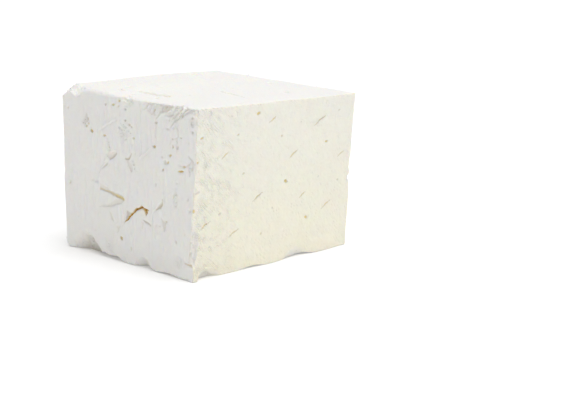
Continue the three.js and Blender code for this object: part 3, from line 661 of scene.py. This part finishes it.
def side_relief(face):
    """The long side that shows."""
    side_pits(face)
    side_facets(face)
    side_cracks(face)
    side_ridges(face)
    side_rim(face)
    for a, b, wide, tall, amount, turn in [
        (-30.4, 61.4, 8, 4, 0.5, 65), (-14, 52.6, 5.5, 2, 0.6, -80), (33, 67.5, 9, 3, 0.6, 60),
        (33.8, 58, 12, 1.8, 0.8, 95), (-2.5, 60, 12, 8, 0.6, 0), (34, 7, 9, 8, 0.4, 0),
        (42.3, 50, 8, 3, 0.9, 80), (43.6, 68.5, 8, 2.2, 0.6, 90), (4, 46, 6, 3, 0.6, -70),
        (-14, 5, 12, 4, 0.6, -50), (32, 35, 12, 3, 0.5, 85),
    ]:
        face.rough_patch(a, b, wide, tall, amount, turn)


def cut_relief(face):
    """The fresh cut: a few holes and torn slits. The knife's ripples come later."""
    for a, b, wide, tall, deep, turn in [
        (-44.4, 62.7, 2.5, 1.1, 1, 8), (-46.2, 52.3, 1.5, 1.2, 0.9, 20), (-47.6, 31.5, 2, 1.6, 1.1, 0),
        (-12.5, 69.7, 3, 1.5, 1.3, 15), (-24, 61.5, 1.6, 1, 0.8, 0), (-46, 39, 3, 1.2, 0.5, 20),
        (6, 37, 2.6, 1.5, 1.4, -20), (31, 52, 2.2, 1.4, 1.3, 10), (20, 18, 2.4, 1.6, 1.3, -30),
        (-33, 28, 2, 1, 0.7, 25), (-20, 44, 1.6, 1.1, 0.7, 0), (2, 58, 1.8, 1, 0.7, 20),
        (14, 63, 1.4, 0.9, 0.6, 0), (40, 33, 1.8, 1.2, 0.7, 0), (-8, 15, 1.6, 1.2, 0.7, 0),
        (27, 36, 1.4, 1, 0.6, 30), (-38, 14, 1.5, 1, 0.6, 0), (38, 66, 1.6, 1, 0.7, 10),
        (-2, 26, 1.2, 0.9, 0.6, 0), (-28, 70, 1.3, 0.8, 0.4, 0),
    ]:
        face.hole(a, b, wide, tall, 0.5 * deep, turn, hollow=min(0.55, deep / 2))
    for a, b, long, deep in [
        (-31, 53.5, 4, 0.5), (-11, 32.2, 6, 1.6), (25.5, 62.2, 7, 1.4), (-41, 24, 5, 0.7), (10, 49, 5, 0.8),
        (33, 22, 6, 0.9), (-24, 18, 5, 0.8), (-4, 66, 4, 0.5), (17, 29, 4, 0.7), (41, 45, 4, 0.7),
    ]:
        rise = 0.3 * long
        left, right = [a - long / 2, b - rise, 0.4, 0.2], [a + long / 2, b + rise, 0.4, 0.2]
        face.crack([left, [a, b + 0.3, 1, 0.6 * deep], right], hollow=0.45)
    face.crack([[-27, 76, 1.2, 0.8], [-25.7, 73.6, 0.7, 0.4]], hollow=0.1)
    face.crack([[-17, 76, 1.4, 1], [-16.6, 73.4, 0.8, 0.4]], hollow=0.1)


def top_relief(face):
    """The top: nearly smooth, with shallow worn marks."""
    for a, b, wide, tall, deep, turn, hollow in [
        (-38, 24, 5, 5, 1.4, 15, 0.5), (29.5, 21, 3.6, 3.4, 1, 30, 0.45), (-46, 23.4, 2, 4, 0.9, 0, 0.5),
        (9.8, -38.6, 2.4, 2, 1.2, 0, 0.6),
        (-6, -39.5, 4, 2.2, 0.9, 20, 0.45), (8, 7, 3, 2, 0.5, 0, 0.3), (-43, 8, 3, 2, 0.5, 0, 0.35),
        (4, 35, 4, 2.6, 0.6, 0, 0.3), (-21.6, -28.8, 3, 3.6, 0.8, 0, 0.42), (-17.2, -37, 3, 3, 0.8, 40, 0.42),
        (8.7, -29.6, 3, 3, 0.8, 0, 0.4), (11.5, -40, 3, 3.4, 1, 0, 0.2), (11.9, -22.2, 2.4, 2.6, 0.6, 0, 0.3),
        (43.5, -21.4, 2, 1.4, 0.4, 0, 0.2), (45, 22, 1.5, 5, 0.5, 0, 0.3), (-46, 24, 2, 3, 0.8, 0, 0.4),
        (-20, 12, 2, 1.4, 0.4, 0, 0.2), (-30, -8, 1.6, 1.2, 0.4, 0, 0.2), (18, 38, 2, 1.3, 0.5, 0, 0.25),
    ]:
        face.hole(a, b, wide, tall, deep, turn, hollow)
    mark = [[-12, -31, 3, 0.6], [-5, -30.5, 6, 1.2], [1, -31.3, 6, 1.4], [10.2, -32.8, 4, 0.8]]
    face.crack(mark, hollow=0.17)
    face.crack([[11.5, -3.4, 0.8, 0.3], [22, -5.6, 1.6, 0.7], [33.3, -8.4, 0.8, 0.3]], hollow=0.3)
    face.crack([[-34, -20, 0.8, 0.2], [-22, -17, 1.4, 0.4], [-12, -18, 0.8, 0.2]], hollow=0.1)


HIDDEN_DRAWS = 20417
HIDDEN_HOLES = 16
SMALL_HOLES = 22
HIDDEN_PATCHES = 7


def hidden_relief(back, end):
    """The sides away from the eye are finished like the one that faces it."""
    draws = random_draws(HIDDEN_DRAWS)
    back_cracks = [[-30, 26, -13, 34, 2, 3.2], [8, 47, 21, 41, 1.6, 2.2], [28, 17, 36, 25, 1.4, 1.6]]
    back.strewn(draws, HALF_X - 4, HIDDEN_HOLES, back_cracks)
    back.flake(14, 58, 8, 5, 1.8, -30)
    back.flake(-22, 16, 9, 5, 1.8, 200)
    end_cracks = [[-22, 50, -6, 43, 2, 3], [14, 22, 27, 29, 1.8, 2.4]]
    end.strewn(draws, HALF_Y, HIDDEN_HOLES, end_cracks)
    end.flake(22, 56, 9, 5, 1.8, -35)
    end.flake(-28, 24, 8, 4.5, 1.6, 215)
    for face, half in ((back, HALF_X), (end, HALF_Y)):
        for _ in range(SMALL_HOLES):
            a = (next(draws) * 2 - 1) * (half - 4)
            b = 6 + next(draws) * (HEIGHT - 12)
            size = 0.9 + next(draws)
            face.hole(a, b, size, size * 0.7, 0.4 + 0.3 * size, 60 * next(draws), hollow=0.45)
        for _ in range(HIDDEN_PATCHES):
            a = (next(draws) * 2 - 1) * (half - 9)
            b = 10 + next(draws) * (HEIGHT - 20)
            wide, tall = 4 + 5 * next(draws), 3 + 3 * next(draws)
            face.rough_patch(a, b, wide, tall, 0.5 + 0.5 * next(draws), 90 * next(draws))


# The mesh

def centre_in(points, box):
    """Gives the solid's box in millimetres, and the shift that centres the block in it, on the table."""
    low, high = (np.array(corner) / MM for corner in box)
    middle = (points.max(axis=0) + points.min(axis=0)) / 2
    shift = (low + high) / 2 - middle
    shift[2] = low[2] - points[:, 2].min()
    return low, high, shift


def carve(points, on):
    """Lays the relief of each face. Gives the face, the axis and the way that it digs, and how coarse its
    curds and its streaks are."""
    side = Face(points, on.side, (0, 2), waver=0.2)
    back = Face(points, on.back, (0, 2))
    cut = Face(points, on.cut, (1, 2), waver=0.3)
    end = Face(points, on.end, (1, 2))
    top = Face(points, on.top, (0, 1), waver=0.7)
    side_relief(side)
    cut_relief(cut)
    top_relief(top)
    hidden_relief(back, end)
    return [
        (side, 1, IN, 0.4, 0.3),
        (back, 1, OUT, 0.4, 0.3),
        (cut, 0, OUT, 0.16, 0),
        (end, 0, IN, 0.4, 0.3),
        (top, 2, OUT, 0.12, 0),
    ]


def texture_of(face, worn, curd, streaks):
    """Curds all over a face, streaks that run down it, and small crumbs where it is worn."""
    lumps = 0.5 * GRAIN_C.rough(face.spots, 5.5, 4)
    lines = 0.5 * GRAIN_B.rough(face.spots * (1, 1, 0.25), 1.5, 2)
    crumbs = GRAIN_A.rough(face.spots, 1.1, 2)
    return curd * lumps + streaks * lines + 0.3 * crumbs * worn


def make_block():
    """The block's mesh, with how hollow (the shade painted into it), torn and fresh it is at each point."""
    nominal, quads = box_mesh()
    on = Sides(nominal)
    points = nominal.copy()
    torn, hollow = break_edges(points)
    fresh = on.cut * (1 - torn)
    inner = edge_distance(nominal)
    points = form(points)
    low, high, shift = centre_in(points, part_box(NODE))
    for face, axis, way, curd, streaks in carve(points, on):
        worn = np.clip(face.torn + torn[face.on], 0, 1)
        dug = (face.depth - face.lift) * smooth(0, 1, inner[face.on])
        texture = texture_of(face, worn, curd, streaks) * smooth(0, 2, inner[face.on])
        points[face.on, axis] += way * (dug + texture)
        hollow[face.on] = np.maximum(hollow[face.on], face.hollow)
        torn[face.on] = np.maximum(torn[face.on], face.torn)
    points = np.clip(points + shift, low, high)

    mesh = bpy.data.meshes.new("feta")
    mesh.from_pydata(points * MM, [], quads)
    # `hollow` carries the shade painted into the hollows
    for name, values in {"hollow": hollow, "torn": torn, "fresh": fresh}.items():
        mesh.attributes.new(name, "FLOAT", "POINT").data.foreach_set("value", values.astype(np.float32))
    mesh.shade_smooth()
    block = bpy.data.objects.new("feta", mesh)
    bpy.context.scene.collection.objects.link(block)
    return block, shift


def bake_modifiers(obj):
    """Turns the object with its modifiers into a plain mesh."""
    depsgraph = bpy.context.evaluated_depsgraph_get()
    made = bpy.data.meshes.new_from_object(obj.evaluated_get(depsgraph), depsgraph=depsgraph)
    obj.modifiers.clear()
    obj.data = made
    return obj


def keep_inside(obj):
    """Keeps every point of the object inside the solid's box."""
    places = np.empty(3 * len(obj.data.vertices))
    obj.data.vertices.foreach_get("co", places)
    low, high = (np.array(corner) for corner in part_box(NODE))
    kept = np.clip(places.reshape(-1, 3), low, high)
    obj.data.vertices.foreach_set("co", kept.reshape(-1))


def thin_out(block):
    """Merges the triangles where the block is smooth."""
    triangles = 2 * len(block.data.polygons)
    thin = block.modifiers.new("thin", "DECIMATE")
    thin.ratio = MOST_TRIANGLES / triangles
    bake_modifiers(block)
    keep_inside(block)
    block.data.shade_smooth()


# Materials

class Value:
    """A number socket. Sums and products of these add Math nodes."""

    def __init__(self, kit, socket):
        self.kit, self.socket = kit, socket

    def math(self, operation, *others):
        inputs = {0: self.socket}
        for number, other in enumerate(others, 1):
            inputs[number] = other.socket if isinstance(other, Value) else other
        return self.kit.value("ShaderNodeMath", {"operation": operation}, inputs)

    def __add__(self, other):
        return self.math("ADD", other)

    def __sub__(self, other):
        return self.math("SUBTRACT", other)

    def __mul__(self, other):
        return self.math("MULTIPLY", other)

    def __rsub__(self, other):
        return (self * -1.0) + other

    __radd__ = __add__
    __rmul__ = __mul__

    def ranged(self, low, high):
        """0 at `low` to 1 at `high`, eased."""
        inputs = {"Value": self.socket, "From Min": low, "From Max": high}
        return self.kit.value("ShaderNodeMapRange", {"interpolation_type": "SMOOTHSTEP"}, inputs)


class Kit:
    """Adds nodes to one tree."""

    def __init__(self, tree):
        self.tree = tree

    def node(self, kind, settings=None, inputs=None):
        node = self.tree.nodes.new(kind)
        for name, setting in (settings or {}).items():
            setattr(node, name, setting)
        for name, given in (inputs or {}).items():
            socket = node.inputs[name]
            given = given.socket if isinstance(given, Value) else given
            if isinstance(given, bpy.types.NodeSocket):
                self.tree.links.new(given, socket)
            else:
                socket.default_value = given
        return node

    def value(self, kind, settings, inputs, output=0):
        return Value(self, self.node(kind, settings, inputs).outputs[output])

    def attribute(self, name):
        return self.value("ShaderNodeAttribute", {"attribute_name": name}, {}, "Fac")

    def mix(self, factor, first, second):
        node = self.node("ShaderNodeMix", {"data_type": "RGBA"}, {"Factor": factor})
        for name, colour in (("A", first), ("B", second)):
            socket = next(s for s in node.inputs if s.name == name and s.type == "RGBA")
            if isinstance(colour, bpy.types.NodeSocket):
                self.tree.links.new(colour, socket)
            else:
                socket.default_value = (*colour, 1)
        return next(s for s in node.outputs if s.type == "RGBA")

    def stretched(self, scale):
        place = self.node("ShaderNodeTexCoord").outputs["Object"]
        return self.node("ShaderNodeMapping", {}, {"Vector": place, "Scale": scale}).outputs["Vector"]

    def noise(self, vector, scale, detail=3.0, roughness=0.55):
        inputs = {"Vector": vector, "Scale": scale, "Detail": detail, "Roughness": roughness}
        return self.value("ShaderNodeTexNoise", {}, inputs, "Fac")


WHITE = (0.95, 0.93, 0.89)
CREAM = (0.965, 0.925, 0.83)
# BUTTER is painted warm shade: the fresh cut turns from cream to butter towards its foot
BUTTER = (0.955, 0.9, 0.76)
# Painted shade in hollow places: grey where a place is a little hollow, then warm yellow and ochre deeper in,
# standing in for the light that scatters through the curd there
SHADE_GREY = (0.82, 0.785, 0.715)
YELLOW = (0.87, 0.73, 0.36)
OCHRE = (0.62, 0.33, 0.03)
# How hollow a place is where its painted shade has reached each of the last three colours
SHADE_GREY_AT, YELLOW_AT, OCHRE_AT = 0.2, 0.5, 1.0
RIPPLE = 1.5 * MM  # between the knife's ripples on the fresh cut
RIPPLE_STRAY = 4.5 * MM
RIPPLE_WAY = (0.75, 0.66)  # across the cut and up it
NEAR_EDGE = (15 * MM, 45 * MM)  # the ripples get stronger between these, out from the cut's middle
TURN = 2 * math.pi


def feta_colour(kit, mottle, height):
    """White outside and cream on the fresh cut, with painted warm shade from cream to butter down the cut,
    and painted shade in the hollows: grey, then yellow to ochre deep inside the holes.
    """
    hollow, fresh = kit.attribute("hollow"), kit.attribute("fresh")
    # Painted warm shade: the fresh cut is yellower and darker towards its foot
    inside = kit.mix(height.ranged(HEIGHT * MM, 0.0), CREAM, BUTTER)
    colour = kit.mix(fresh, WHITE, inside)
    colour = kit.mix(mottle.ranged(0.45, 0.75) * 0.25, colour, CREAM)
    # Painted shade in hollow places: grey first, then yellow, then ochre where they are deepest
    colour = kit.mix(hollow.ranged(0, SHADE_GREY_AT), colour, SHADE_GREY)
    colour = kit.mix(hollow.ranged(SHADE_GREY_AT, YELLOW_AT), colour, YELLOW)
    return kit.mix(hollow.ranged(YELLOW_AT, OCHRE_AT), colour, OCHRE)


def feta_relief(kit, even, across, height):
    """The finest relief, in millimetres: grain and curds all over, streaks down the old faces, and the
    knife's ripples with small dimples on the fresh one. A noise's scale is in cells per metre."""
    torn, fresh = kit.attribute("torn"), kit.attribute("fresh")
    grain = kit.noise(even, 900, 3)
    curd = kit.noise(even, 420, 4)
    streaks = kit.noise(kit.stretched((1, 1, 0.05)), 700, 3)
    stray = kit.noise(even, 110, 2) * RIPPLE_STRAY
    towards_edge = (across * -1.0).ranged(*NEAR_EDGE)
    patches = kit.noise(even, 300, 2).ranged(0.3, 0.7) * (0.3 + towards_edge * 0.7)
    place = across * RIPPLE_WAY[0] + height * RIPPLE_WAY[1] + stray
    ripples = (place * (TURN / RIPPLE)).math("SINE") * patches
    dimples = kit.noise(kit.stretched((1, 1, 0.6)), 620, 2)
    old = 1 - fresh
    rough = grain * 0.12 + curd * 0.35 + streaks * old * 0.75 + grain * torn * 0.3
    return rough + (ripples * 0.28 + dimples * 0.9) * fresh


def feta_material():
    material = bpy.data.materials.new("feta")
    material.use_nodes = True
    tree = material.node_tree
    tree.nodes.clear()
    kit = Kit(tree)
    even = kit.stretched((1, 1, 1))
    y, z = (kit.value("ShaderNodeSeparateXYZ", {}, {"Vector": even}, axis) for axis in (1, 2))
    mottle = kit.noise(even, 90, 4)
    relief = {"Strength": 1.0, "Distance": MM, "Height": feta_relief(kit, even, y, z)}
    shader = kit.node("ShaderNodeBsdfPrincipled", {"subsurface_method": "RANDOM_WALK"}, {
        "Base Color": feta_colour(kit, mottle, z),
        "Roughness": 0.5 + mottle * 0.2 - kit.attribute("hollow") * 0.15,
        "Normal": kit.node("ShaderNodeBump", {}, relief).outputs["Normal"],
        "Specular IOR Level": 0.4,
        "Subsurface Weight": 0.5,
        "Subsurface Radius": (1.0, 0.75, 0.45),
        "Subsurface Scale": 0.7 * MM,
    })
    out = kit.node("ShaderNodeOutputMaterial", {}, {"Surface": shader.outputs["BSDF"]})
    out.is_active_output = True
    return material


def floor_material():
    material = bpy.data.materials.new("studio floor")
    material.use_nodes = True
    shader = material.node_tree.nodes["Principled BSDF"]
    shader.inputs["Base Color"].default_value = (0.95, 0.95, 0.95, 1)
    shader.inputs["Roughness"].default_value = 0.9
    shader.inputs["Specular IOR Level"].default_value = 0
    shader.inputs["Emission Color"].default_value = (1, 1, 1, 1)
    shader.inputs["Emission Strength"].default_value = 0.1
    return material


# Grains of curd on what is torn

GRAINS_PER_AREA = 260_000.0  # in a square metre of torn surface
SMALLEST = (0.2 * MM, 0.2 * MM, 0.15 * MM)
LARGEST = (0.65 * MM, 0.65 * MM, 0.45 * MM)
GRAIN_SEED = 5


def grain_tree(material):
    """Scatters grains over the torn parts of the mesh that it is given."""
    tree = bpy.data.node_groups.new("curd grains", "GeometryNodeTree")
    sockets = tree.interface
    sockets.new_socket("Geometry", in_out="OUTPUT", socket_type="NodeSocketGeometry")
    for name, kind in [
        ("Geometry", "Geometry"),
        ("Density", "Float"),
        ("Smallest", "Vector"),
        ("Largest", "Vector"),
        ("Seed", "Int"),
    ]:
        sockets.new_socket(name, in_out="INPUT", socket_type="NodeSocket" + kind)
    kit = Kit(tree)
    given = kit.node("NodeGroupInput").outputs
    torn = kit.value("GeometryNodeInputNamedAttribute", {"data_type": "FLOAT"}, {"Name": "torn"})
    density = torn * Value(kit, given["Density"])
    scattered = {"Mesh": given["Geometry"], "Density": density, "Seed": given["Seed"]}
    points = kit.node("GeometryNodeDistributePointsOnFaces", {}, scattered).outputs["Points"]
    grain = kit.node("GeometryNodeMeshIcoSphere", {}, {"Radius": 1.0, "Subdivisions": 1}).outputs["Mesh"]
    vectors = {"data_type": "FLOAT_VECTOR"}
    turns = {"Max": (TURN, TURN, TURN), "Seed": given["Seed"]}
    turn = kit.node("FunctionNodeRandomValue", vectors, turns).outputs[0]
    sizes = {"Min": given["Smallest"], "Max": given["Largest"], "Seed": given["Seed"]}
    size = kit.node("FunctionNodeRandomValue", vectors, sizes).outputs[0]
    placed = {"Points": points, "Instance": grain, "Rotation": turn, "Scale": size}
    grains = kit.node("GeometryNodeInstanceOnPoints", {}, placed).outputs[0]
    real = kit.node("GeometryNodeRealizeInstances", {}, {"Geometry": grains}).outputs[0]
    painted = kit.node("GeometryNodeSetMaterial", {}, {"Geometry": real, "Material": material}).outputs[0]
    kit.node("NodeGroupOutput", {}, {"Geometry": painted})
    return tree


def scatter_grains(block, material):
    tree = grain_tree(material)
    grains = bpy.data.objects.new("curd_grains", block.data)
    bpy.context.scene.collection.objects.link(grains)
    scatter = grains.modifiers.new("scatter", "NODES")
    scatter.node_group = tree
    given = {"Density": GRAINS_PER_AREA, "Smallest": SMALLEST, "Largest": LARGEST, "Seed": GRAIN_SEED}
    for socket in tree.interface.items_tree:
        if socket.in_out == "INPUT" and socket.name in given:
            scatter[socket.identifier] = given[socket.name]
    bake_modifiers(grains)
    keep_inside(grains)
    return grains


# The studio

EYE = (484.53, -425.17, 163.49)  # in the brick's own millimetres, before it is centred in its box
LOOK = (-0.6972, 0.6819, -0.2212)
FOCAL_PIXELS = 1411.7
FRAME_WIDTH = 570
FLOOR_HALF = 12.0  # metres
AIM = (0, 0, 0.04)  # the lights point at the middle of the block


def make_camera(shift):
    data = bpy.data.cameras.new("camera")
    data.sensor_fit = "HORIZONTAL"
    data.lens = FOCAL_PIXELS / FRAME_WIDTH * data.sensor_width
    data.clip_start, data.clip_end = 0.01, 50
    camera = bpy.data.objects.new("camera", data)
    camera.location = (np.array(EYE) + shift) * MM
    camera.rotation_euler = Vector(LOOK).to_track_quat("-Z", "Y").to_euler()
    bpy.context.scene.collection.objects.link(camera)
    bpy.context.scene.camera = camera


def make_floor():
    mesh = bpy.data.meshes.new("floor")
    corners = [(x * FLOOR_HALF, y * FLOOR_HALF, 0) for x, y in ((-1, -1), (1, -1), (1, 1), (-1, 1))]
    mesh.from_pydata(corners, [], [(0, 1, 2, 3)])
    mesh.materials.append(floor_material())
    floor = bpy.data.objects.new("floor", mesh)
    bpy.context.scene.collection.objects.link(floor)


def make_light(name, kind, place, energy, **settings):
    """A light that shines from `place`, in metres, on the block."""
    data = bpy.data.lights.new(name, kind)
    data.energy = energy
    for setting, value in settings.items():
        setattr(data, setting, value)
    light = bpy.data.objects.new(name, data)
    light.location = place
    light.rotation_euler = (Vector(AIM) - Vector(place)).to_track_quat("-Z", "Y").to_euler()
    bpy.context.scene.collection.objects.link(light)


def light_studio():
    make_light("overhead", "SUN", (0.28, 0.1, 1.6), energy=2.42, angle=math.radians(60))
    make_light("right", "AREA", (1.3, -0.1, 0.7), energy=1.2, shape="DISK", size=0.9)
    world = bpy.data.worlds.new("studio")
    bpy.context.scene.world = world
    world.use_nodes = True
    background = world.node_tree.nodes["Background"]
    background.inputs["Color"].default_value = (1, 1, 1, 1)
    background.inputs["Strength"].default_value = 0.295
    view = bpy.context.scene.view_settings
    view.view_transform = "Standard"
    view.look = "None"


def main():
    block, shift = make_block()
    thin_out(block)
    feta = feta_material()
    block.data.materials.append(feta)
    grains = scatter_grains(block, feta)
    for piece in (block, grains):
        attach(piece, "root")
    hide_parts(NODE)
    make_camera(shift)
    make_floor()
    light_studio()


main()
